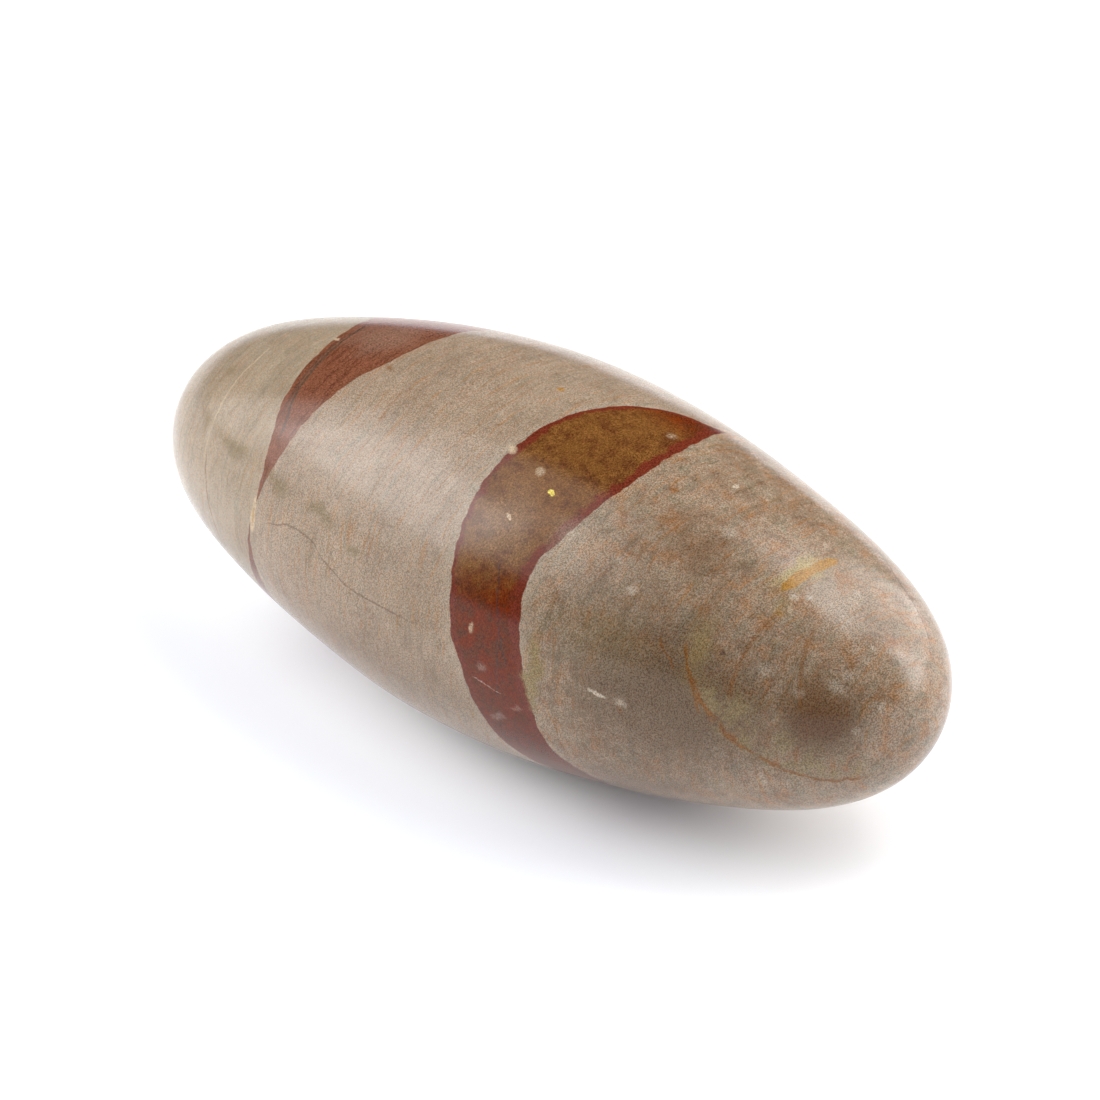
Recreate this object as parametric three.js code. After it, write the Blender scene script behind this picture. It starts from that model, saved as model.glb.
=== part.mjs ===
// A shiva lingam: a river stone of banded siltstone, rubbed and polished to a long egg-ended form.
// Millimetres, +Z up. X runs along the stone from its far tip to its near tip, Y goes across it,
// and the origin is on the small worn flat that the stone rests on, under its middle.
import * as THREE from "three";
import { mergeVertices } from "three/addons/utils/BufferGeometryUtils.js";

const HALF_LENGTH = 60; // middle to tip
const HALF_WIDTH = 25.4; // middle to side, before the flanks' fullness
const HALF_HEIGHT = 24.9; // middle to top, before the flanks' fullness
const REST_HEIGHT = 24.7; // middle to the worn flat, which takes 0.3 mm off the round underside

// What the side outline has beyond an ellipse: the third and fifth sine of the angle from tip to
// tip, as shares of the half width. They straighten the flanks and blunt the tips a little.
const FULLNESS_3 = 0.016;
const FULLNESS_5 = 0.021;

// The centre line is not quite straight. It bends in a plane that leans from +Y towards +Z.
const BEND_PLANE = THREE.MathUtils.degToRad(50);
const BOW = -0.4; // how far both tips lie off the middle
const SWAY = 0.8; // size of the S that the centre line makes between the tips

const AROUND = 64; // facets round the stone
const ALONG = 48; // facets from tip to tip

const STONE_COLOUR = 0xa59682;
const STONE_ROUGHNESS = 0.4;

// Radius of the side outline, as a share of the half width, at angle u from the far tip.
function outline(u) {
  return Math.sin(u) + FULLNESS_3 * Math.sin(3 * u) + FULLNESS_5 * Math.sin(5 * u);
}

// Offset of the centre line at s, which runs from -1 at the far tip to 1 at the near tip.
function bend(s) {
  return BOW * s ** 2 + SWAY * (s ** 3 - s);
}

// The point at angle u from the far tip and angle v round the stone, from +Y towards +Z.
// Whatever would reach below the worn flat lies on it.
function surfacePoint(u, v) {
  const s = -Math.cos(u);
  const y = HALF_WIDTH * outline(u) * Math.cos(v) + bend(s) * Math.cos(BEND_PLANE);
  const z = HALF_HEIGHT * outline(u) * Math.sin(v) + bend(s) * Math.sin(BEND_PLANE);
  return new THREE.Vector3(HALF_LENGTH * s, y, Math.max(REST_HEIGHT + z, 0));
}

// A ball with its poles on the X axis, each of its vertices moved out to the stone's surface.
// It is turned by half a facet, so that a row of facets, and not an edge, lies along the bottom.
function stoneGeometry() {
  const ball = new THREE.SphereGeometry(1, AROUND, ALONG, Math.PI / AROUND);
  ball.rotateZ(Math.PI / 2);
  ball.deleteAttribute("normal");
  ball.deleteAttribute("uv");
  const geometry = mergeVertices(ball);
  const position = geometry.getAttribute("position");
  const direction = new THREE.Vector3();
  for (let i = 0; i < position.count; i++) {
    direction.fromBufferAttribute(position, i);
    const u = Math.acos(THREE.MathUtils.clamp(-direction.x, -1, 1));
    const v = Math.atan2(direction.z, direction.y);
    position.setXYZ(i, ...surfacePoint(u, v));
  }
  geometry.computeVertexNormals();
  return geometry;
}

const stone = new THREE.Mesh(
  stoneGeometry(),
  new THREE.MeshStandardMaterial({
    color: STONE_COLOUR,
    roughness: STONE_ROUGHNESS,
    metalness: 0,
  }),
);
stone.name = "stone";

const lingam = new THREE.Group();
lingam.add(stone);

export default lingam;
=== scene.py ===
"""A shiva lingam stone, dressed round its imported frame: a polished river stone with dark red bands."""

import math

import bpy
import numpy as np
from bpy.props import FloatProperty, FloatVectorProperty, IntProperty, PointerProperty
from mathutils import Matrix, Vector


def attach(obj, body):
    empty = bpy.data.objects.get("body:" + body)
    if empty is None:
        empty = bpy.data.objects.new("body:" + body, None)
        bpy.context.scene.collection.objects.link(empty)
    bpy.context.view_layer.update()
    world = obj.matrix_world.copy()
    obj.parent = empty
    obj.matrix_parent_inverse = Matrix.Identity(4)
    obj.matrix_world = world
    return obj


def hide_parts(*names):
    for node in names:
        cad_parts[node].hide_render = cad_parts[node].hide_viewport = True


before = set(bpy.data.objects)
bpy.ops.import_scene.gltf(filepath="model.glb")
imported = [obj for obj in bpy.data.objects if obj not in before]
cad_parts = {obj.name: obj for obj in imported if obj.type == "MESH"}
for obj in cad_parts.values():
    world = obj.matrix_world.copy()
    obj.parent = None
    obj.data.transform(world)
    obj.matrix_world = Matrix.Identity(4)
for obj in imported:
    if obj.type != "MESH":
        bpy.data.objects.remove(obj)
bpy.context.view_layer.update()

bl_info = {
    "name": "Shiva Lingam Stone",
    "version": (1, 0, 0),
    "blender": (4, 5, 0),
    "location": "3D View > Sidebar > Lingam",
    "description": "Builds a banded, polished river stone and the table it lies on",
    "category": "Add Mesh",
}

BODY = "root"
NODE = "stone"
MM = 0.001
FULL_TURN = 360.0

# Millimetres of skin to a degree round the stone, where it is 50 mm thick.
ARC = math.radians(25.0)

# Edges of the two bands: (degrees round the stone, millimetres along it). Round the stone runs from
# +Y through the top at 90, the front at 180 and the bottom at 270. Where a band's far edge lies
# past its near edge, the band has pinched out.
NEAR_BAND_FAR_EDGE = (
    (0, 23), (40, 22.5), (60, 21.6), (66, 19.8), (71, 16.5), (80, 13), (90, 10), (100, 7.8), (112, 6),
    (126, 4.8), (138, 4.55), (150, 5.1), (163, 6.2), (174, 7.3), (184, 8.9), (200, 10.7), (213, 12.8),
    (222, 15), (235, 18.5), (250, 21), (265, 22.5), (300, 25), (330, 24.5), (360, 23),
)
NEAR_BAND_NEAR_EDGE = (
    (0, 20), (40, 20.6), (60, 21), (66, 21.2), (75, 21.6), (85, 21.9), (95, 21.7), (104, 21.4),
    (112, 20.7), (124, 19.2), (136, 17.5), (141, 16.5), (147, 15.8), (154, 15.7), (162, 16.2),
    (176, 17.5), (190, 18.8), (197, 19.1), (210, 21), (222, 24), (235, 27), (250, 29), (265, 29.5),
    (285, 27.5), (300, 25), (330, 22), (360, 20),
)
FAR_BAND_FAR_EDGE = (
    (0, -36.5), (30, -35), (60, -33.4), (83, -32.4), (98, -32), (120, -31.7), (131, -31.3), (138, -30.5),
    (146, -29.8), (158, -29.5), (168, -29.9), (178, -30.9), (187, -31.5), (200, -32.3), (220, -33.2),
    (240, -34.2), (270, -35.5), (300, -36.5), (330, -37), (360, -36.5),
)
FAR_BAND_NEAR_EDGE = (
    (0, -16), (30, -15.2), (60, -15.8), (75, -16.8), (90, -18), (105, -20), (113, -22), (121, -23.5),
    (130, -25), (145, -26.9), (153, -28), (160, -28.8), (168, -29.9), (178, -30.6), (200, -30.3),
    (220, -29.6), (240, -27.5), (270, -23.5), (300, -20), (330, -17.5), (360, -16),
)

# Oval marks in the rock: colour, middle as millimetres along and degrees round, half sizes along
# and round in millimetres, lean in degrees, the solid share of the half sizes, and strength.
MARKS = (
    # brown, grey and pale staining of the near end, and painted shade low on it
    ("stain", 32, 117, 8, 7, 0, 0.0, 0.6),
    # painted shade: darker low on the near end's front
    ("painted_shade", 36, 170, 20, 19, 0, 0.2, 0.9),
    ("smudge_and_dark_reflection", 27, 157, 7, 7, 20, 0.0, 0.4),
    # painted shade: darker low on the near end, towards its underside
    ("painted_shade", 29, 216, 17, 12, -20, 0.0, 0.5),
    ("stain", 52.4, 163, 5.4, 13, 0, 0.2, 0.95),
    ("umber_and_low_shade", 52.2, 168, 3.6, 9, 0, 0.0, 0.35),
    ("chalk_and_sheen", 20, 137, 4.5, 6, 0, 0.0, 0.4),
    ("chalk_and_sheen", 49, 108, 5, 8, 0, 0.0, 0.3),
    ("rust", 25.4, 105, 0.7, 0.8, 0, 0.2, 0.6),
    ("rust", 19.2, 170.7, 0.5, 0.8, 0, 0.2, 0.6),
    ("rust", 30.4, 179.1, 0.6, 0.9, 0, 0.2, 0.5),
    # gold streak near the tip, in its yellow halo
    ("halo", 43.2, 104, 2.3, 9.5, 7, 0.2, 0.4),
    ("yellow", 42.7, 104, 1.7, 8.0, 7, 0.1, 0.2),
    ("halo", 43.9, 122, 1.2, 3.5, 0, 0.2, 0.5),
    ("gold", 43.5, 108.5, 0.85, 4.2, 8, 0.7, 0.95),
    ("gold", 44.3, 95.5, 0.75, 4.4, 8, 0.7, 0.9),
    ("gold", 44.3, 125.4, 0.6, 0.9, 0, 0.1, 0.5),
    ("chalk_and_sheen", 44.5, 116, 0.8, 1.1, 0, 0.2, 0.8),
    ("chalk_and_sheen", 45.9, 112.6, 0.8, 1.2, 0, 0.1, 0.65),
    ("cream_and_sheen", 45.0, 121.5, 0.45, 2.0, -12, 0.1, 0.5),
    ("rust", 46.2, 114.1, 0.25, 0.9, 10, 0.3, 0.6),
    # yellow-green haze beside the rust vein and along the near band
    ("halo", 37.8, 149, 2.6, 6.5, -10, 0.1, 0.7),
    ("halo", 18.9, 176, 1.6, 8, -4, 0.4, 0.85),
    # chalky clots of the near end
    ("chalk_and_sheen", 30.1, 89.2, 0.5, 0.9, 0, 0.4, 0.9),
    ("chalk_and_sheen", 34, 107.4, 1.5, 1.9, 0, 0.0, 0.5),
    ("chalk_and_sheen", 28.1, 140.7, 1.1, 1.0, 0, 0.1, 0.6),
    ("chalk_and_sheen", 45.6, 148.5, 1.1, 1.8, 0, 0.0, 0.5),
    ("chalk_and_sheen", 49.3, 94.8, 0.4, 0.9, 0, 0.3, 0.8),
    ("chalk_and_sheen", 54, 113.8, 0.4, 1.0, 0, 0.2, 0.8),
    ("chalk_and_sheen", 53.4, 136.3, 0.7, 1.8, 0, 0.0, 0.5),
    ("chalk_and_sheen", 53.0, 143.5, 1.3, 2.4, 0, 0.0, 0.6),
    ("chalk_and_sheen", 49.8, 152.5, 0.9, 1.6, 0, 0.0, 0.5),
    ("chalk_and_sheen", 57.3, 146, 0.4, 4.0, 0, 0.0, 0.6),
    ("chalk_and_sheen", 55.9, 166.7, 0.5, 2.4, 0, 0.0, 0.6),
    ("chalk_and_sheen", 27.3, 175.7, 1.5, 0.45, 15, 0.5, 1.0),
    ("chalk_and_sheen", 30.4, 176.5, 1.4, 1.0, 10, 0.0, 0.55),
    ("crack", 40.6, 148.2, 0.45, 0.5, 0, 0.3, 0.6),
    # specks and scuffs of the near band, a painted sheen over its middle and painted shade low on it
    ("cream_and_sheen", 5.4, 117.8, 1.1, 0.8, 30, 0.3, 0.8),
    ("gold", 3.7, 91, 0.8, 0.6, 0, 0.3, 0.75),
    ("yellow", 13.3, 124.6, 0.6, 0.38, 20, 0.7, 1.0),
    ("cream_and_sheen", 10.4, 120.3, 0.8, 0.8, 0, 0.4, 0.6),
    ("cream_and_sheen", 10.1, 135.9, 0.6, 0.35, 40, 0.5, 0.85),
    ("cream_and_sheen", 9.9, 169, 0.4, 0.95, 5, 0.3, 0.65),
    ("cream_and_sheen", 19.2, 85.6, 1.0, 1.0, 0, 0.1, 0.4),
    ("scratch", 11.7, 179.8, 1.1, 0.9, 0, 0.0, 0.4),
    ("scratch", 13.2, 197.5, 2.2, 1.0, -20, 0.0, 0.5),
    ("scratch", 16.2, 191, 1.6, 0.9, -20, 0.0, 0.4),
    # painted sheen: broad pale haze over the near band's middle
    ("cream_and_sheen", 9.8, 139, 5.5, 8, 0, 0.1, 0.14),
    ("umber_and_low_shade", 9.6, 156, 2.4, 3.6, 25, 0.0, 0.5),
    # painted shade: darker brown low on the near band
    ("umber_and_low_shade", 15.5, 204, 6, 9, -20, 0.0, 0.35),
    # smudges of the middle and of the far end, with a painted sheen, painted shade and a painted dark
    # reflection among them
    # painted sheen: faint pale patch at the top of the far band
    ("chalk_and_sheen", -25, 92, 8, 7, 0, 0.2, 0.16),
    # painted shade: darker low on the middle
    ("painted_shade", -6, 197, 24, 9, -6, 0.0, 0.3),
    ("rust", -18.9, 106.7, 1.4, 0.7, 20, 0.0, 0.6),
    ("rust", -14.1, 123.5, 0.6, 1.8, 0, 0.0, 0.4),
    ("smudge_and_dark_reflection", -45.1, 123.7, 1.8, 2.6, 0, 0.0, 0.5),
    # this row and the four below: olive staining, and a painted dark reflection that draws the line
    # under the sheen
    ("smudge_and_dark_reflection", -44.4, 149, 1.3, 4.0, 0, 0.0, 0.6),
    ("smudge_and_dark_reflection", -37, 152.5, 5.5, 2.2, 12, 0.0, 0.75),
    ("smudge_and_dark_reflection", -25.5, 157, 4.5, 1.9, 8, 0.0, 0.8),
    ("smudge_and_dark_reflection", -17, 158.5, 5.5, 1.7, 8, 0.0, 0.75),
    ("smudge_and_dark_reflection", -10.4, 162, 1.6, 1.5, 0, 0.0, 0.75),
    # the same kinds of marks round the back and underneath
    ("stain", 40, 340, 9, 12, 10, 0.0, 0.6),
    ("smudge_and_dark_reflection", -6, 345, 8, 6, -15, 0.0, 0.4),
    # painted shade: darker under the near end
    ("painted_shade", 34, 262, 14, 14, 0, 0.0, 0.5),
    ("halo", 38, 22, 3, 8, 12, 0.0, 0.6),
    ("rust", 4.5, 18, 0.6, 3.2, 14, 0.1, 0.6),
    ("chalk_and_sheen", 27.5, 352, 1.2, 0.5, 30, 0.4, 0.9),
    ("chalk_and_sheen", 46, 28, 1.2, 2.0, 0, 0.0, 0.6),
    ("chalk_and_sheen", -9.5, 12, 0.5, 0.5, 0, 0.4, 0.8),
    ("gold", -44, 318, 0.6, 2.6, -8, 0.4, 0.7),
    # cream fill of the pinched far band, and a pale chip higher up on its edge
    ("cream_and_sheen", -29.8, 167, 0.5, 1.8, -2, 0.5, 0.95),
    ("cream_and_sheen", -30.1, 172.8, 0.65, 2.6, 5, 0.6, 1.0),
    ("gold", -30.0, 171, 0.4, 2.6, 4, 0.2, 0.55),
    ("cream_and_sheen", -31.6, 98, 0.7, 0.5, 0, 0.4, 0.8),
)

# Thin lines that run round the stone: colour, half width in millimetres, strength, then
# (degrees round, millimetres along) from end to end.
LINES_ROUND = (
    ("cream_and_sheen", 0.22, 0.55, ((106, -41), (115, -41.4), (125, -42.3), (136, -42.7), (146, -42.9),
     (166, -42.8))),
    ("rust", 0.22, 0.5, ((160, -42.6), (170, -41.8), (181, -41.1), (191, -40.2), (200, -39.8))),
    ("streak", 0.32, 0.85, ((80, -31.4), (88, -30.6), (106, -30.3), (120, -30.1), (128, -29.8),
     (137, -28.8), (146, -28.7))),
    ("streak", 0.22, 0.7, ((96, -31.1), (106, -30.9), (120, -30.7), (130, -30.3), (137, -29.5))),
    ("crack", 0.16, 0.65, ((146, 11.2), (150, 11.7), (161, 13), (168, 13.9), (175, 15), (179, 15.4))),
    ("crack", 0.14, 0.55, ((166, 13.3), (171, 13.8), (180, 13.9), (190, 13.7))),
    ("rust", 0.22, 0.6, ((150, 33.3), (154, 34), (157, 35.3), (160, 36))),
    ("rust", 0.3, 0.75, ((148, 36.3), (154, 36.9), (160, 38), (168, 39.2), (174, 40))),
    ("rust", 0.4, 0.4, ((126, 43.9), (139, 43.2), (150, 42.8), (166, 42.9))),
    ("rust", 0.35, 0.4, ((120, 48.2), (133, 48.6), (145, 49.3), (163, 50.8))),
    ("cream_and_sheen", 0.28, 0.6, ((290, -27), (302, -26.4), (315, -26), (330, -26.6), (345, -27.5))),
    ("rust", 0.09, 0.5, ((140, 59.35), (160, 59.3), (179, 59.1), (198, 58.5), (207, 57.2))),
)

# The same for thin lines that run along it: (millimetres along, degrees round).
LINES_ALONG = (
    ("hairline", 0.17, 0.6, ((-29, 173), (-26.5, 170), (-24.5, 168.4), (-21.8, 166.1), (-18.2, 166.5),
     (-15.6, 170), (-12.4, 172.7), (-10, 174.5), (-4, 175), (3, 175))),
    ("hairline", 0.14, 0.35, ((-8, 200.5), (-4, 198), (0, 198.5), (4, 201), (8, 201))),
    ("scratch", 0.12, 0.6, ((10, 184), (12, 185.2), (14.6, 187))),
    ("hairline", 0.18, 0.6, ((-6, 330), (0, 334), (6, 331), (11, 336), (17, 334))),
    ("streak", 0.32, 0.6, ((40, 54), (46.4, 57), (50.1, 62), (52.8, 62.5), (55.4, 64.2), (58.6, 68))),
)

# The rust vein of the near end lies in an oblique plane: along = offset + across * y + down * z,
# in millimetres from the stone's middle.
VEIN_OFFSET = 61.2
VEIN_ACROSS = 0.97
VEIN_DOWN = -0.835

# Millimetres along over which the far end's rock gives way to the middle's, and the middle's to
# the near end's.
FAR_CHANGE = (-31, -28)
NEAR_CHANGE = (15, 20)

# Half the width over which a band's edge blends into the tan rock, in millimetres.
EDGE_BLUR = 0.07

# How much further in the near band's dark rims reach at its far edge and at its near edge, in
# millimetres.
FAR_RIM = 0.1
NEAR_RIM = 0.6

# Marks whose half size along the stone is above this, in millimetres, are frayed more widely.
LONG_MARK = 1.5

# Slow waves that hand rubbing leaves: how fast each runs along and round the stone, and where it
# starts, in radians.
RUBBING_WAVES = ((7, 2, 0.6), (11, -3, 2.1), (17, 5, 4.0))


class StoneShape(bpy.types.PropertyGroup):
    """The sizes of the stone's form."""

    half_length: FloatProperty(
        name="Half length", description="From the stone's middle to a tip",
        default=60 * MM, unit="LENGTH", subtype="DISTANCE",
    )
    half_width: FloatProperty(
        name="Half width", description="From the middle to a side, before the flanks' fullness",
        default=25.4 * MM, unit="LENGTH", subtype="DISTANCE",
    )
    half_height: FloatProperty(
        name="Half height", description="From the middle to the top, before the flanks' fullness",
        default=24.9 * MM, unit="LENGTH", subtype="DISTANCE",
    )
    rest_height: FloatProperty(
        name="Rest height", description="From the middle down to the worn flat",
        default=24.7 * MM, unit="LENGTH", subtype="DISTANCE",
    )
    fullness_3: FloatProperty(
        name="Flank fullness", description="Third sine of the outline, as a share of the half width",
        default=0.016,
    )
    fullness_5: FloatProperty(
        name="Tip fullness", description="Fifth sine of the outline, as a share of the half width",
        default=0.021,
    )
    bow: FloatProperty(
        name="Bow", description="How far both tips lie off the middle",
        default=-0.4 * MM, unit="LENGTH", subtype="DISTANCE",
    )
    sway: FloatProperty(
        name="Sway", description="Size of the S that the centre line makes between the tips",
        default=0.8 * MM, unit="LENGTH", subtype="DISTANCE",
    )
    bend_plane: FloatProperty(
        name="Bend plane", description="How far the plane of the bow and sway leans up from level",
        default=math.radians(50), unit="ROTATION", subtype="ANGLE",
    )
    rubbing: FloatProperty(
        name="Rubbing", description="Depth of the shallow unevenness that hand rubbing leaves",
        default=0.03 * MM, unit="LENGTH", subtype="DISTANCE", precision=5,
    )
    along: IntProperty(
        name="Rows along", description="Rows of faces from tip to tip",
        default=288, min=16,
    )
    around: IntProperty(
        name="Faces around", description="Faces round the stone",
        default=320, min=16,
    )


def colour_property(name, description, default):
    """A colour that a user can change, in linear light."""
    return FloatVectorProperty(
        name=name, description=description, default=default, size=3, subtype="COLOR", min=0, max=1
    )


class StoneColours(bpy.types.PropertyGroup):
    """The colours of the rock and of what marks it."""

    far_end: colour_property("Far end", "Grey-olive tan of the far end", (0.31, 0.24, 0.168))
    middle: colour_property("Middle", "Warm grey tan between the bands", (0.3, 0.222, 0.157))
    near_end: colour_property("Near end", "Brown tan of the near end", (0.272, 0.193, 0.131))
    brick: colour_property("Brick", "Brick red of the near band", (0.137, 0.018, 0.001))
    rim: colour_property("Rim", "Dark red rims of the near band", (0.133, 0.024, 0.011))
    core: colour_property("Core", "Ochre olive core of the near band", (0.165, 0.069, 0.017))
    # Its own dark brown mottles, and also painted shade low on the near band.
    umber_and_low_shade: colour_property("Umber", "Dark brown mottles of the near band", (0.085, 0.025, 0.008))
    far_band: colour_property("Far band", "Brown red of the far band", (0.176, 0.063, 0.033))
    gold: colour_property("Gold", "Ochre of streaks and spots", (0.32, 0.155, 0.022))
    yellow: colour_property("Yellow", "Sulphur yellow of the brightest speck", (0.62, 0.5, 0.09))
    halo: colour_property("Halo", "Yellow green beside veins", (0.225, 0.16, 0.07))
    # Also a painted sheen: a broad pale haze over the near band's middle.
    cream_and_sheen: colour_property("Cream", "Pale vein filling", (0.46, 0.35, 0.23))
    # Also a painted sheen: a faint pale patch at the top of the far band.
    chalk_and_sheen: colour_property("Chalk", "Pale clots and chalky patches", (0.42, 0.345, 0.265))
    streak: colour_property("Streak", "Dark grey-green streaks of the far band", (0.07, 0.05, 0.035))
    rust: colour_property("Rust", "Orange brown veins", (0.19, 0.07, 0.012))
    stain: colour_property("Stain", "Brown staining of the near end", (0.15, 0.082, 0.041))
    # Painted shade, darker on the low sides of the near end and the middle.
    painted_shade: colour_property("Shade", "Grey-brown darkening low on the near end", (0.126, 0.08, 0.047))
    # Also a painted dark reflection: with olive staining, it draws the dark line under the sheen along
    # the middle.
    smudge_and_dark_reflection: colour_property("Smudge", "Olive smudges of the far end", (0.19, 0.14, 0.075))
    hairline: colour_property("Hairline", "Brown hairline cracks", (0.12, 0.07, 0.045))
    crack: colour_property("Crack", "Blue-grey cracks in the near band", (0.05, 0.03, 0.03))
    scratch: colour_property("Scratch", "Pale scratches", (0.34, 0.22, 0.18))


class StageSetting(bpy.types.PropertyGroup):
    """The table, the lamps and the camera."""

    floor_size: FloatProperty(
        name="Table size", description="Side of the square table top",
        default=6.0, unit="LENGTH", subtype="DISTANCE",
    )
    floor_colour: FloatVectorProperty(
        name="Table colour", description="Plain pale table top",
        default=(0.9, 0.9, 0.9), size=3, subtype="COLOR", min=0, max=1,
    )
    # The table's glow is painted light that lightens the stone's shadow away from its foot.
    floor_glow: FloatVectorProperty(
        name="Table glow", description="Light that comes up through the table top",
        default=(0.212, 0.242, 0.305), size=3, subtype="COLOR", min=0, max=1,
    )
    view_azimuth: FloatProperty(
        name="View azimuth", description="Camera direction round the stone, from -Y towards +X",
        default=math.radians(39.8), unit="ROTATION", subtype="ANGLE",
    )
    view_elevation: FloatProperty(
        name="View elevation", description="Camera direction above the table",
        default=math.radians(32), unit="ROTATION", subtype="ANGLE",
    )
    view_distance: FloatProperty(
        name="View distance", description="From the stone's middle to the camera",
        default=0.42, unit="LENGTH", subtype="DISTANCE",
    )
    view_aside: FloatProperty(
        name="View aside", description="How far right of the stone's middle the camera aims",
        default=1.225 * MM, unit="LENGTH", subtype="DISTANCE",
    )
    lens: FloatProperty(
        name="Lens", description="Focal length in millimetres, on a sensor 36 mm wide",
        default=108.17,
    )


class Graph:
    """A node tree that is filled in from the script."""

    def __init__(self, tree):
        self.tree = tree

    def put(self, socket, value):
        """Links a wire to a socket, or sets the socket's own value."""
        if isinstance(value, Wire):
            self.tree.links.new(value.socket, socket)
        elif socket.type == "RGBA":
            socket.default_value = (*value, 1)
        else:
            socket.default_value = value

    def add(self, kind, inputs=(), **settings):
        """A new node with its settings, and its inputs filled by name or number."""
        node = self.tree.nodes.new("ShaderNode" + kind)
        for key, value in settings.items():
            setattr(node, key, value)
        for key, value in dict(inputs).items():
            self.put(node.inputs[key], value)
        return node

    def wire(self, node, output=0):
        """The wire from a node's output, by name or number."""
        return Wire(self, node.outputs[output])

    def math(self, operation, *values):
        """A sum on plain values."""
        return self.wire(self.add("Math", enumerate(values), operation=operation))

    def vector(self, operation, *values, output=0):
        """A sum on vectors. A length comes from output 1."""
        return self.wire(self.add("VectorMath", enumerate(values), operation=operation), output)

    def combine(self, x, y, z=0.0):
        """A vector from its three parts."""
        return self.wire(self.add("CombineXYZ", enumerate((x, y, z))))

    def separate(self, vector):
        """The three parts of a vector."""
        node = self.add("SeparateXYZ", {0: vector})
        return [self.wire(node, axis) for axis in range(3)]

    def ramp(self, value, low, high):
        """0 below low, 1 above high and a smooth step between. High may be the smaller."""
        limits = {0: value, 1: low, 2: high}
        return self.wire(self.add("MapRange", limits, interpolation_type="SMOOTHSTEP", clamp=False))

    def blend(self, factor, first, second, mode="MIX"):
        """A mix of two colours."""
        node = self.add("Mix", data_type="RGBA", blend_type=mode)
        for key, value in ((0, factor), (6, first), (7, second)):
            self.put(node.inputs[key], value)
        return self.wire(node, 2)

    def tint(self, factor, colour, tint):
        """A colour, multiplied by a tint as far as the factor says."""
        return self.blend(factor, colour, tint, "MULTIPLY")

    def noise(self, vector, scale, detail, roughness=0.5):
        """Soft noise from 0 to 1, about 0.5 on average. Scale is its waves in a millimetre."""
        inputs = {"Vector": vector, "Scale": scale, "Detail": detail, "Roughness": roughness}
        return self.wire(self.add("TexNoise", inputs))

    def frayed(self, place, point, scale, amount):
        """A place on the skin, shifted by noise so that outlines drawn there come out uneven.

        Scale is the noise's waves in a millimetre, and amount how far it shifts, at most."""
        inputs = {"Vector": point, "Scale": scale, "Detail": 3.0, "Roughness": 0.65}
        noise = self.wire(self.add("TexNoise", inputs), 1)
        shift = self.vector("SUBTRACT", noise, (0.5, 0.5, 0.5))
        scaled = self.vector("MULTIPLY", shift, (amount, amount, 0.0))
        return self.vector("ADD", place, scaled)

    def curve(self, value, points):
        """A smooth curve through points whose x and y run from 0 to 1."""
        node = self.add("FloatCurve", {"Factor": 1.0, "Value": value})
        curve = node.mapping.curves[0]
        while len(curve.points) < len(points):
            curve.points.new(0.5, 0.5)
        for handle, (x, y) in zip(curve.points, points):
            handle.location = (x, y)
        node.mapping.update()
        return self.wire(node)

    def place(self, group, **inputs):
        """A node that uses a group. Its outputs are wires by name."""
        node = self.add("Group", node_tree=group)
        for key, value in inputs.items():
            self.put(node.inputs[key.replace("_", " ").capitalize()], value)
        return {output.name: Wire(self, output) for output in node.outputs}


class Wire:
    """A value that leaves a node, with plain arithmetic."""

    def __init__(self, graph, socket):
        self.graph = graph
        self.socket = socket

    def __add__(self, other):
        return self.graph.math("ADD", self, other)

    def __sub__(self, other):
        return self.graph.math("SUBTRACT", self, other)

    def __mul__(self, other):
        return self.graph.math("MULTIPLY", self, other)

    def __rsub__(self, other):
        return self.graph.math("SUBTRACT", other, self)


def new_group(name, inputs, outputs):
    """A node group with its own sockets, given as names with F for a value and V for a vector.

    Returns the graph to fill in, the wires that come in by name, and the node to put results in."""
    kinds = {"F": "NodeSocketFloat", "V": "NodeSocketVector"}
    tree = bpy.data.node_groups.new(name, "ShaderNodeTree")
    for side, sockets in (("INPUT", inputs), ("OUTPUT", outputs)):
        for key, kind in sockets.items():
            tree.interface.new_socket(key, in_out=side, socket_type=kinds[kind])
    graph = Graph(tree)
    source = tree.nodes.new("NodeGroupInput")
    result = tree.nodes.new("NodeGroupOutput")
    given = {output.name: Wire(graph, output) for output in source.outputs if output.name}
    return graph, given, result


def bedding_group():
    """The beds that the rock was laid down in, nearly square to the stone's length.

    Bed = x - 0.17 y - 0.05 z, with slow waves. Threads, Ash and Broad are noises stretched along
    the beds: thin threads, thin ashy streaks and broader beds. The 40 and the 9 are there so that
    the three don't follow each other."""
    outputs = {"Bed": "F", "Threads": "F", "Ash": "F", "Broad": "F"}
    graph, given, result = new_group("bedding", {"Point": "V"}, outputs)
    x, y, z = graph.separate(given["Point"])
    waves = graph.noise(given["Point"], 0.06, detail=3.0, roughness=0.6) * 5.0
    bed = x - y * 0.17 - z * 0.05 + waves - 2.5
    thread_place = graph.combine(bed * 2.2, y * 0.16, z * 0.16)
    threads = graph.noise(thread_place, 1.0, detail=2.0, roughness=0.7)
    ash_place = graph.combine(bed * 1.5, y * 0.13 + 40.0, z * 0.13)
    ash = graph.noise(ash_place, 1.0, detail=2.0, roughness=0.7)
    broad_place = graph.combine(bed * 0.35, y * 0.06, z * 0.06 + 9.0)
    broad = graph.noise(broad_place, 1.0, detail=2.0, roughness=0.6)
    graph.put(result.inputs["Bed"], bed)
    graph.put(result.inputs["Threads"], threads)
    graph.put(result.inputs["Ash"], ash)
    graph.put(result.inputs["Broad"], broad)
    return graph.tree


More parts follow.
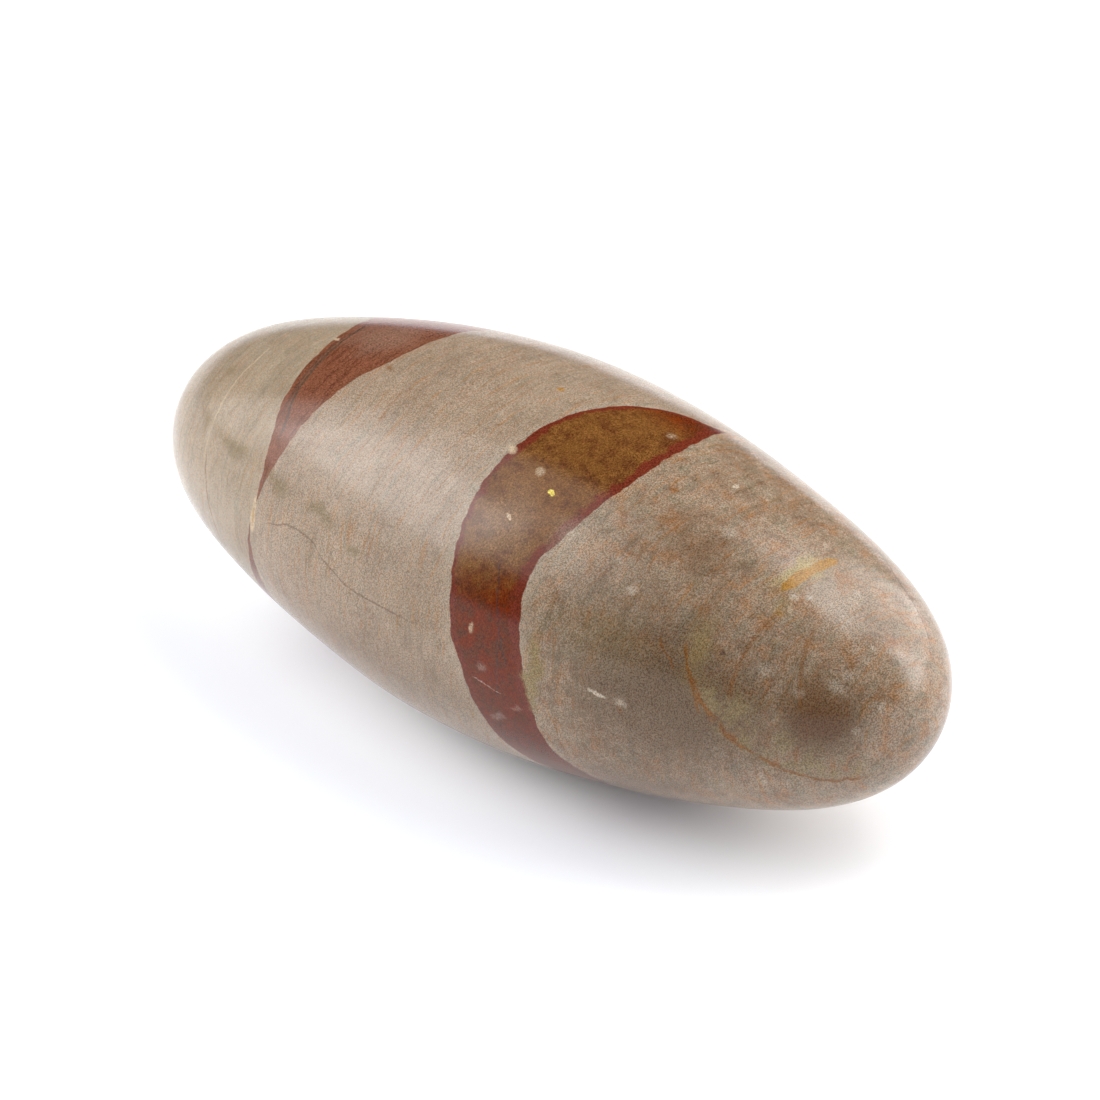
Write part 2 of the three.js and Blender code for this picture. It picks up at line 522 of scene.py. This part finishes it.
def grain_group():
    """Sand grains, a little longer along the beds.

    Light runs from dark to pale grains, Warm from grey-green to orange ones, and Clot gathers
    them into clots of a millimetre or two."""
    outputs = {"Light": "F", "Warm": "F", "Clot": "F"}
    graph, given, result = new_group("grain", {"Point": "V", "Bed": "F"}, outputs)
    _, y, z = graph.separate(given["Point"])
    packed = graph.combine(given["Bed"], y * 0.7, z * 0.7)
    shifted = graph.vector("ADD", packed, (31.0, 17.0, 5.0))
    light = graph.noise(packed, 7.5, detail=1.0, roughness=0.7)
    warm = graph.noise(shifted, 5.0, detail=1.0, roughness=0.7)
    clot = graph.noise(shifted, 0.75, detail=3.0, roughness=0.6)
    graph.put(result.inputs["Light"], graph.ramp(light, 0.28, 0.72))
    graph.put(result.inputs["Warm"], graph.ramp(warm, 0.28, 0.72))
    graph.put(result.inputs["Clot"], clot)
    return graph.tree


def band_group():
    """A band between two edges, given as millimetres along: its mask, with edges that are
    softened by Blur, and how far inside the closer edge and each of the two a point lies."""
    graph, given, result = new_group(
        "band", {"Along": "F", "Far edge": "F", "Near edge": "F", "Blur": "F"},
        {"Mask": "F", "Depth": "F", "From far": "F", "From near": "F"},
    )
    from_far = given["Along"] - given["Far edge"]
    from_near = given["Near edge"] - given["Along"]
    inside = graph.math("MINIMUM", from_far, from_near)
    graph.put(result.inputs["Mask"], graph.ramp(inside, 0.0 - given["Blur"], given["Blur"]))
    graph.put(result.inputs["Depth"], inside)
    graph.put(result.inputs["From far"], from_far)
    graph.put(result.inputs["From near"], from_near)
    return graph.tree


def mark_group():
    """An oval mark on the stone's skin: Strength inside the core, falling to 0 at its outline.

    Stretch is one over the half sizes, and Shift is the middle times minus Stretch, so that the
    outline lies at 1. Core is the solid share of the half sizes."""
    graph, given, result = new_group(
        "mark",
        {"Place": "V", "Stretch": "V", "Shift": "V", "Core": "F", "Strength": "F"},
        {"Mask": "F"},
    )
    inside = graph.vector("MULTIPLY_ADD", given["Place"], given["Stretch"], given["Shift"])
    distance = graph.vector("LENGTH", inside, output=1)
    limits = {0: distance, 1: 1.0, 2: given["Core"], 4: given["Strength"]}
    fade = graph.add("MapRange", limits, interpolation_type="SMOOTHSTEP", clamp=False)
    graph.put(result.inputs["Mask"], graph.wire(fade))
    return graph.tree


def line_group():
    """A thin line: a mask where Gap, the distance from the line, is under Width, its half width.

    Course runs from 0 to 1 along the line, and the line fades out towards its two ends."""
    graph, given, result = new_group(
        "line", {"Gap": "F", "Course": "F", "Width": "F", "Strength": "F"}, {"Mask": "F"}
    )
    near = graph.ramp(graph.math("ABSOLUTE", given["Gap"]), given["Width"], given["Width"] * 0.3)
    middle = graph.math("ABSOLUTE", given["Course"] - 0.5)
    graph.put(result.inputs["Mask"], near * graph.ramp(middle, 0.5, 0.36) * given["Strength"])
    return graph.tree


def draw_line(graph, group, distance, across, scale, width, strength, points):
    """The mask of a thin line through points.

    The points are (place on the axis that the line follows, place on the other axis), and the
    wires distance and across are the same two axes. Scale turns the second one's numbers into
    millimetres. The line's course is a curve inside a box that reaches just past its points."""
    start, end = points[0][0], points[-1][0]
    middle = sum(y for _, y in points) / len(points)
    reach = 2 * max(abs(y - middle) for _, y in points) + 1
    course = graph.add("MapRange", {0: distance, 1: start, 2: end}, clamp=False)
    scaled = [((x - start) / (end - start), (y - middle) / reach + 0.5) for x, y in points]
    run = graph.curve(graph.wire(course), scaled) * (reach * scale)
    gap = across - run - (middle - reach / 2) * scale
    return graph.place(group, gap=gap, course=graph.wire(course), width=width, strength=strength)["Mask"]


def edge_wire(graph, turn, points, half_length):
    """Millimetres along at which a band's edge lies, from the turn round the stone, 0 to 1."""
    span = 2 * half_length
    scaled = [(angle / FULL_TURN, (along + half_length) / span) for angle, along in points]
    return graph.curve(turn, scaled) * span - half_length


class Skin:
    """What the stone's colours follow over its skin, as wires. Lengths are in millimetres.

    Point is measured from the stone's middle, and along, across and height are its parts. Turn
    runs from 0 to 1 round the stone. A place on the skin is (along, degrees round times ARC),
    and the fine and wide places are frayed by small and large waves."""

    def __init__(self, graph, shape):
        in_mm = graph.add("Mapping", {
            "Vector": graph.wire(graph.add("TexCoord"), "Object"),
            "Location": (0, 0, -shape.rest_height / MM),
            "Scale": (1 / MM, 1 / MM, 1 / MM),
        })
        self.point = graph.wire(in_mm)
        self.along, self.across, self.height = graph.separate(self.point)
        angle = graph.math("ARCTAN2", self.height, self.across)
        self.turn = graph.math("FRACT", angle * (0.5 / math.pi))
        place = graph.combine(self.along, self.turn * (FULL_TURN * ARC))
        self.fine_place = graph.frayed(place, self.point, scale=1.2, amount=0.7)
        self.wide_place = graph.frayed(place, self.point, scale=0.22, amount=6.0)

        self.beds = graph.place(bedding_group(), point=self.point)
        self.grain = graph.place(grain_group(), point=self.point, bed=self.beds["Bed"])
        band = band_group()
        waver = (graph.noise(self.point, 0.45, detail=3.0, roughness=0.55) - 0.5) * 0.9
        ragged_along = self.along + waver
        half_length = shape.half_length / MM
        self.near_band, self.far_band = [
            graph.place(
                band, along=ragged_along, blur=EDGE_BLUR,
                far_edge=edge_wire(graph, self.turn, far_edge, half_length),
                near_edge=edge_wire(graph, self.turn, near_edge, half_length),
            )
            for far_edge, near_edge in (
                (NEAR_BAND_FAR_EDGE, NEAR_BAND_NEAR_EDGE),
                (FAR_BAND_FAR_EDGE, FAR_BAND_NEAR_EDGE),
            )
        ]
        self.cloud = graph.noise(self.point, 0.13, detail=4.0, roughness=0.65)
        self.patch = graph.noise(self.point, 0.34, detail=5.0, roughness=0.68)
        self.near_share = graph.ramp(self.along, *NEAR_CHANGE)
        self.mottle = graph.noise(self.point, 0.55, detail=5.0, roughness=0.7)
        self.degrees = self.turn * FULL_TURN
        self.banded = graph.math("MAXIMUM", self.near_band["Mask"], self.far_band["Mask"])


def rock_colour(graph, skin, colours):
    """Tan rock in three zones, mottled by clouds, patches, clots and beds."""
    rock = graph.blend(graph.ramp(skin.along, *FAR_CHANGE), colours.far_end, colours.middle)
    rock = graph.blend(skin.near_share, rock, colours.near_end)

    # the near end is the most clouded and clotted, and the far end has the faintest thin beds
    rough = skin.near_share * 0.35 + 0.35
    bedded = graph.ramp(skin.along, -31, -26) * 0.15 + skin.near_share * 0.1 + 0.4
    clot = skin.grain["Clot"]

    # what the tint follows, where it starts and where it is full, its share, and the tint, which
    # multiplies the colour
    mottling = (
        (skin.cloud, 0.46, 0.68, rough, (0.78, 0.74, 0.7)),
        (skin.cloud, 0.5, 0.32, rough, (1.14, 1.15, 1.18)),
        (skin.patch, 0.5, 0.66, skin.near_share, (1.02, 0.82, 0.64)),
        (skin.patch, 0.47, 0.36, skin.near_share, (0.9, 0.97, 0.96)),
        (clot, 0.52, 0.68, rough, (0.7, 0.66, 0.64)),
        (clot, 0.44, 0.3, rough, (1.3, 1.38, 1.48)),
        (skin.beds["Broad"], 0.45, 0.7, 0.5, (0.84, 0.83, 0.84)),
        (skin.beds["Ash"], 0.53, 0.67, bedded, (0.7, 0.79, 0.79)),
        (skin.beds["Threads"], 0.54, 0.67, bedded, (1.08, 0.74, 0.42)),
        # the bleached margin of the near band
        (skin.near_band["Depth"], -2.0, -0.3, 0.55, (1.12, 1.2, 1.24)),
    )
    for pattern, start, full, share, tint in mottling:
        rock = graph.tint(graph.ramp(pattern, start, full) * share, rock, tint)
    return rock


def near_band_colour(graph, skin, colours):
    """Brick red, with an ochre olive core over the top and dark red rims.

    The core runs from 80 to about 150 degrees round, and ends unevenly where it comes down."""
    brick = graph.blend(graph.ramp(skin.mottle, 0.42, 0.6) * 0.8, colours.brick, colours.umber_and_low_shade)
    core = graph.blend(graph.ramp(skin.mottle, 0.42, 0.68) * 0.8, colours.core, colours.umber_and_low_shade)
    low_end = skin.degrees + (skin.mottle - 0.5) * 40.0 + skin.along
    core_mask = graph.ramp(low_end, 172, 155) * graph.ramp(skin.degrees, 72, 88)
    red = graph.blend(core_mask, brick, core)
    from_far = skin.near_band["From far"] - FAR_RIM
    from_near = skin.near_band["From near"] - NEAR_RIM
    inside = graph.math("MINIMUM", from_far, from_near) + (skin.grain["Clot"] - 0.5) * 2.4
    return graph.blend(graph.ramp(inside, 1.0, 0.3), red, colours.rim)


def far_band_colour(graph, skin, colours):
    """Brown red, with dark streaks along the beds and dark mottles."""
    ashy = graph.ramp(skin.beds["Ash"], 0.5, 0.66) * 0.6
    brown = graph.tint(ashy, colours.far_band, (0.55, 0.5, 0.52))
    return graph.tint(graph.ramp(skin.mottle, 0.5, 0.7) * 0.6, brown, (0.72, 0.62, 0.55))


def add_marks(graph, skin, colours, colour):
    """The colour with all oval marks over it. Long ones have the more widely frayed outline."""
    mark = mark_group()
    for name, x, angle, half_along, half_round, lean, core, strength in MARKS:
        middle = (x, angle * ARC, 0)
        seat = skin.wide_place if half_along > LONG_MARK else skin.fine_place
        if lean:
            pivot = {"Vector": seat, "Center": middle, "Angle": math.radians(lean)}
            seat = graph.wire(graph.add("VectorRotate", pivot, rotation_type="Z_AXIS", invert=True))
        drawn = graph.place(
            mark, place=seat, stretch=(1 / half_along, 1 / half_round, 1),
            shift=(-middle[0] / half_along, -middle[1] / half_round, 0),
            core=core, strength=strength,
        )
        colour = graph.blend(drawn["Mask"], colour, getattr(colours, name))
    return colour


def add_vein(graph, skin, colours, colour):
    """The colour with the near end's rust vein, and its yellow-green halo towards the tip.

    The vein shows below the top of the stone and short of the tip, and is broken by clots."""
    flat = skin.along - skin.across * VEIN_ACROSS - skin.height * VEIN_DOWN - VEIN_OFFSET
    vein = flat + (graph.noise(skin.point, 0.4, detail=4.0, roughness=0.65) - 0.5) * 2.4
    ring = graph.ramp(skin.height, 8, 5) * graph.ramp(skin.along, 57.5, 56)
    beside = graph.ramp(vein, -1.6, 0.4) * graph.ramp(vein, 6.5, 2)
    halo = beside * ring * graph.ramp(skin.patch, 0.62, 0.42)
    colour = graph.blend(halo * 0.7, colour, colours.halo)
    filling = graph.ramp(graph.math("ABSOLUTE", vein), 0.5, 0.1) * ring
    broken = filling * graph.ramp(skin.grain["Clot"], 0.68, 0.5)
    return graph.blend(broken * 0.9, colour, colours.rust)


def add_lines(graph, skin, colours, colour):
    """The colour with all thin lines over it."""
    line = line_group()
    fine_along, fine_round, _ = graph.separate(skin.fine_place)
    for name, width, strength, points in LINES_ROUND:
        mask = draw_line(graph, line, skin.degrees, fine_along, 1.0, width, strength, points)
        colour = graph.blend(mask, colour, getattr(colours, name))
    for name, width, strength, points in LINES_ALONG:
        mask = draw_line(graph, line, skin.along, fine_round, ARC, width, strength, points)
        colour = graph.blend(mask, colour, getattr(colours, name))
    return colour


def add_grain(graph, skin, colour):
    """The colour with sand grain over it, soft in the far end and coarse in the near one."""
    share = skin.near_share * 0.25 + graph.ramp(skin.along, -31, -27) * 0.3 + 0.4
    pale_grain = graph.blend(skin.grain["Light"], (0.52, 0.46, 0.4), (1.48, 1.54, 1.6))
    colour = graph.tint(share, colour, pale_grain)
    warm_grain = graph.blend(skin.grain["Warm"], (0.92, 1.02, 1.08), (1.08, 0.98, 0.92))
    colour = graph.tint(1.0, colour, warm_grain)
    red_grain = graph.blend(skin.grain["Warm"], (0.76, 0.66, 0.5), (1.24, 1.34, 1.5))
    return graph.tint(skin.banded * 0.8, colour, red_grain)


def stone_material(shape, colours):
    """Banded siltstone: tan rock with beds, grain and staining, two red bands, veins and specks."""
    material = bpy.data.materials.new("polished_siltstone")
    material.use_nodes = True
    graph = Graph(material.node_tree)
    bsdf = material.node_tree.nodes["Principled BSDF"]
    skin = Skin(graph, shape)

    colour = rock_colour(graph, skin, colours)
    colour = graph.blend(skin.near_band["Mask"], colour, near_band_colour(graph, skin, colours))
    colour = graph.blend(skin.far_band["Mask"], colour, far_band_colour(graph, skin, colours))
    colour = add_marks(graph, skin, colours, colour)
    colour = add_vein(graph, skin, colours, colour)
    colour = add_lines(graph, skin, colours, colour)
    graph.put(bsdf.inputs["Base Color"], add_grain(graph, skin, colour))

    # a waxy polish, a little duller on clots and shinier on the bands
    graph.put(bsdf.inputs["Roughness"], skin.grain["Clot"] * 0.1 + 0.16 - skin.banded * 0.02)
    bsdf.inputs["Specular IOR Level"].default_value = 0.3
    wear = graph.noise(skin.point, 2.0, detail=1.0)
    bump = graph.add("Bump", {"Strength": 0.15, "Distance": 0.05 * MM, "Height": wear})
    graph.put(bsdf.inputs["Normal"], graph.wire(bump))
    return material


def surface_object(name, x, y, z):
    """A closed mesh object from a grid of rows between two poles.

    x, y and z are arrays of rows by columns, the columns run once round, and row 0 and the last
    row are single points. Quads join the rows, and a fan of triangles closes each pole."""
    rows, columns = x.shape
    inner = np.stack([x, y, z], axis=-1)[1:-1].reshape(-1, 3)
    first = [x[0, 0], y[0, 0], z[0, 0]]
    last = [x[-1, 0], y[-1, 0], z[-1, 0]]
    points = np.vstack([first, inner, last])
    index = 1 + np.arange((rows - 2) * columns).reshape(rows - 2, columns)
    beside = np.roll(index, -1, axis=1)
    quads = np.stack([index[:-1], beside[:-1], beside[1:], index[1:]], axis=-1).reshape(-1, 4)
    start_fan = np.stack([np.zeros(columns, int), beside[0], index[0]], axis=-1)
    end_fan = np.stack([np.full(columns, len(points) - 1), index[-1], beside[-1]], axis=-1)
    corners = np.concatenate([start_fan.ravel(), quads.ravel(), end_fan.ravel()])
    counts = np.concatenate([np.full(columns, 3), np.full(len(quads), 4), np.full(columns, 3)])
    mesh = bpy.data.meshes.new(name)
    mesh.vertices.add(len(points))
    mesh.vertices.foreach_set("co", points.ravel())
    mesh.loops.add(len(corners))
    mesh.loops.foreach_set("vertex_index", corners)
    mesh.polygons.add(len(counts))
    mesh.polygons.foreach_set("loop_start", np.cumsum(counts) - counts)
    mesh.polygons.foreach_set("use_smooth", np.ones(len(counts), bool))
    mesh.update(calc_edges=True)
    mesh.validate()
    piece = bpy.data.objects.new(name, mesh)
    bpy.context.scene.collection.objects.link(piece)
    return piece


def stone_surface(shape):
    """The stone's skin over u, from the far tip to the near one, and v, round it from +Y to +Z.

    Along the stone, s = -cos(u) and x = half length * s. The side outline is sin(u) with small
    shares of sin(3u) and sin(5u). The centre line is off by bow * s^2 + sway * (s^3 - s) in the
    bend plane. Rubbing adds the sines of a few slow waves, which die out at the tips as
    sin(u)^2. Whatever would reach below the worn flat lies on it."""
    u = np.linspace(0, np.pi, shape.along + 1)[:, None]
    v = np.linspace(0, 2 * np.pi, shape.around, endpoint=False)[None, :]
    s = -np.cos(u)
    outline = np.sin(u) + shape.fullness_3 * np.sin(3 * u) + shape.fullness_5 * np.sin(5 * u)
    waves = sum(np.sin(along * s + around * v + start) for along, around, start in RUBBING_WAVES)
    rub = shape.rubbing * waves * np.sin(u) ** 2
    bend = shape.bow * s**2 + shape.sway * (s**3 - s)
    y = (shape.half_width * outline + rub) * np.cos(v) + bend * math.cos(shape.bend_plane)
    z = (shape.half_height * outline + rub) * np.sin(v) + bend * math.sin(shape.bend_plane)
    x = shape.half_length * s + 0 * v
    return x, y, np.maximum(shape.rest_height + z, 0)


class LINGAM_OT_stone(bpy.types.Operator):
    """Build the polished stone in place of its plain solid"""

    bl_idname = "lingam.stone"
    bl_label = "Stone"

    def execute(self, context):
        shape = context.scene.lingam_shape
        piece = surface_object("stone_polished", *stone_surface(shape))
        piece.data.materials.append(stone_material(shape, context.scene.lingam_colours))
        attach(piece, BODY)
        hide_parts(NODE)
        return {"FINISHED"}


# The glow near the stone is painted light: it lightens the stone's shadow on the table away from its
# foot.
# The table top glows, but not at the stone's foot. The glow rises outwards over an oval with this
# middle and these half sizes, and has died away again at three times its size. The ramps are
# in shares of the half sizes, from no glow to full glow.
GLOW_MIDDLE = (12 * MM, 4 * MM, 0)
GLOW_SIZE = (80 * MM, 34 * MM, 1)
GLOW_RISE = (0.12, 1.06)
GLOW_FALL = (3.0, 1.4)

# From here on, in metres from the stone, the table glows as white as the backdrop.
FAR_GLOW_RISE = (0.5, 0.8)
FAR_GLOW = 4.2

# Upright soft lamps round the stone: azimuth, lowest and highest elevation in degrees, distance
# in metres, half width as a share of the distance, and brightness.
LAMPS = {
    "window": (-57, 4, 62, 0.9, 0.51, 2.5),
    "window_core": (-52, 18, 48, 0.9, 0.37, 4.3),
    "window_side": (-22, 24, 62, 0.9, 0.25, 1.9),
    "window_top": (-50, 62, 78, 0.5, 0.6, 1.9),
    "back_window": (148, 2, 62, 0.9, 0.62, 4.1),
    "back_strip": (126, 2, 38, 0.9, 0.18, 3.6),
    "back_top": (139, 62, 78, 0.5, 0.87, 6.2),
}

SENSOR_WIDTH = 36
NEAREST_SEEN = 10 * MM


def direction(azimuth, elevation):
    """Unit vector towards an azimuth, from -Y towards +X, and an elevation above the table."""
    level = math.cos(elevation)
    return Vector((math.sin(azimuth) * level, -math.cos(azimuth) * level, math.sin(elevation)))


def softbox(name, target, azimuth, lowest, highest, distance, half_width, brightness):
    """An upright rectangular lamp that faces the target across the table.

    Its power is brightness * pi * its area, so brightness is how bright its face looks."""
    bottom = distance * math.tan(math.radians(lowest))
    top = distance * math.tan(math.radians(highest))
    width = 2 * half_width * distance
    lamp = bpy.data.lights.new(name, "AREA")
    lamp.shape = "RECTANGLE"
    lamp.size = width
    lamp.size_y = top - bottom
    lamp.energy = brightness * math.pi * width * (top - bottom)
    piece = bpy.data.objects.new(name, lamp)
    towards = direction(math.radians(azimuth), 0)
    piece.location = target + distance * towards + Vector((0, 0, (bottom + top) / 2))
    piece.rotation_euler = towards.to_track_quat("Z", "Y").to_euler()
    piece.visible_camera = False
    bpy.context.scene.collection.objects.link(piece)


def table_material(setting):
    """Matt white that glows round the stone's foot, painted light on its shadow, and again far away."""
    material = bpy.data.materials.new("table_white")
    material.use_nodes = True
    bsdf = material.node_tree.nodes["Principled BSDF"]
    bsdf.inputs["Base Color"].default_value = (*setting.floor_colour, 1)
    bsdf.inputs["Roughness"].default_value = 0.9
    bsdf.inputs["Specular IOR Level"].default_value = 0.0
    bsdf.inputs["Emission Color"].default_value = (*setting.floor_glow, 1)
    graph = Graph(material.node_tree)
    place = graph.wire(graph.add("TexCoord"), "Object")
    oval = {"Vector": place, "Location": GLOW_MIDDLE, "Scale": GLOW_SIZE}
    in_sizes = graph.wire(graph.add("Mapping", oval, vector_type="TEXTURE"))
    away = graph.vector("LENGTH", in_sizes, output=1)
    close = graph.ramp(away, *GLOW_RISE) * graph.ramp(away, *GLOW_FALL)
    distance = graph.vector("LENGTH", place, output=1)
    far = graph.ramp(distance, *FAR_GLOW_RISE) * FAR_GLOW
    graph.put(bsdf.inputs["Emission Strength"], close + far)
    return material


def table_top(setting):
    """A flat square under the stone."""
    half = setting.floor_size / 2
    corners = [(-half, -half, 0), (half, -half, 0), (half, half, 0), (-half, half, 0)]
    mesh = bpy.data.meshes.new("table_top")
    mesh.from_pydata(corners, [], [(0, 1, 2, 3)])
    mesh.materials.append(table_material(setting))
    piece = bpy.data.objects.new("table_top", mesh)
    bpy.context.scene.collection.objects.link(piece)
    return piece


def white_backdrop():
    """A world that the camera sees as white, and that sends no light to the stone."""
    world = bpy.data.worlds.new("studio")
    world.use_nodes = True
    backdrop = world.node_tree.nodes["Background"]
    backdrop.inputs["Color"].default_value = (1, 1, 1, 1)
    seen = world.node_tree.nodes.new("ShaderNodeLightPath").outputs["Is Camera Ray"]
    world.node_tree.links.new(seen, backdrop.inputs["Strength"])
    return world


def camera_at(setting, middle):
    """A camera that looks at the stone's middle, a little to its side."""
    lens = bpy.data.cameras.new("view")
    lens.lens = setting.lens
    lens.sensor_width = SENSOR_WIDTH
    lens.clip_start = NEAREST_SEEN
    camera = bpy.data.objects.new("view", lens)
    back = direction(setting.view_azimuth, setting.view_elevation)
    turn = back.to_track_quat("Z", "Y")
    aim = middle + turn @ Vector((setting.view_aside, 0, 0))
    camera.location = aim + setting.view_distance * back
    camera.rotation_euler = turn.to_euler()
    bpy.context.scene.collection.objects.link(camera)
    return camera


class LINGAM_OT_stage(bpy.types.Operator):
    """Build the table, the lamps and the camera"""

    bl_idname = "lingam.stage"
    bl_label = "Stage"

    def execute(self, context):
        scene = context.scene
        setting = scene.lingam_stage
        middle = Vector((0, 0, scene.lingam_shape.rest_height))
        floor = table_top(setting)
        for name, settings in LAMPS.items():
            softbox(name, middle, *settings)
        scene.world = white_backdrop()
        scene.camera = camera_at(setting, middle)
        scene.view_settings.view_transform = "Standard"
        return {"FINISHED"}


class LINGAM_PT_panel(bpy.types.Panel):
    """The stone's operators and their settings"""

    bl_idname = "LINGAM_PT_panel"
    bl_label = "Shiva Lingam Stone"
    bl_space_type = "VIEW_3D"
    bl_region_type = "UI"
    bl_category = "Lingam"

    def draw(self, context):
        for operator in OPERATORS:
            self.layout.operator(operator.bl_idname)
        for name, group in SETTINGS.items():
            box = self.layout.box()
            for key in group.__annotations__:
                box.prop(getattr(context.scene, name), key)


OPERATORS = (LINGAM_OT_stone, LINGAM_OT_stage)
SETTINGS = {"lingam_shape": StoneShape, "lingam_colours": StoneColours, "lingam_stage": StageSetting}
CLASSES = (*SETTINGS.values(), *OPERATORS, LINGAM_PT_panel)


def register():
    """Adds the classes, and their settings to the scene."""
    for cls in CLASSES:
        bpy.utils.register_class(cls)
    for name, group in SETTINGS.items():
        setattr(bpy.types.Scene, name, PointerProperty(type=group))


def unregister():
    """Takes the settings and the classes out again."""
    for name in SETTINGS:
        delattr(bpy.types.Scene, name)
    for cls in reversed(CLASSES):
        bpy.utils.unregister_class(cls)


def main():
    """Builds the stone and its stage."""
    register()
    bpy.ops.lingam.stone()
    bpy.ops.lingam.stage()


if __name__ == "__main__":
    main()
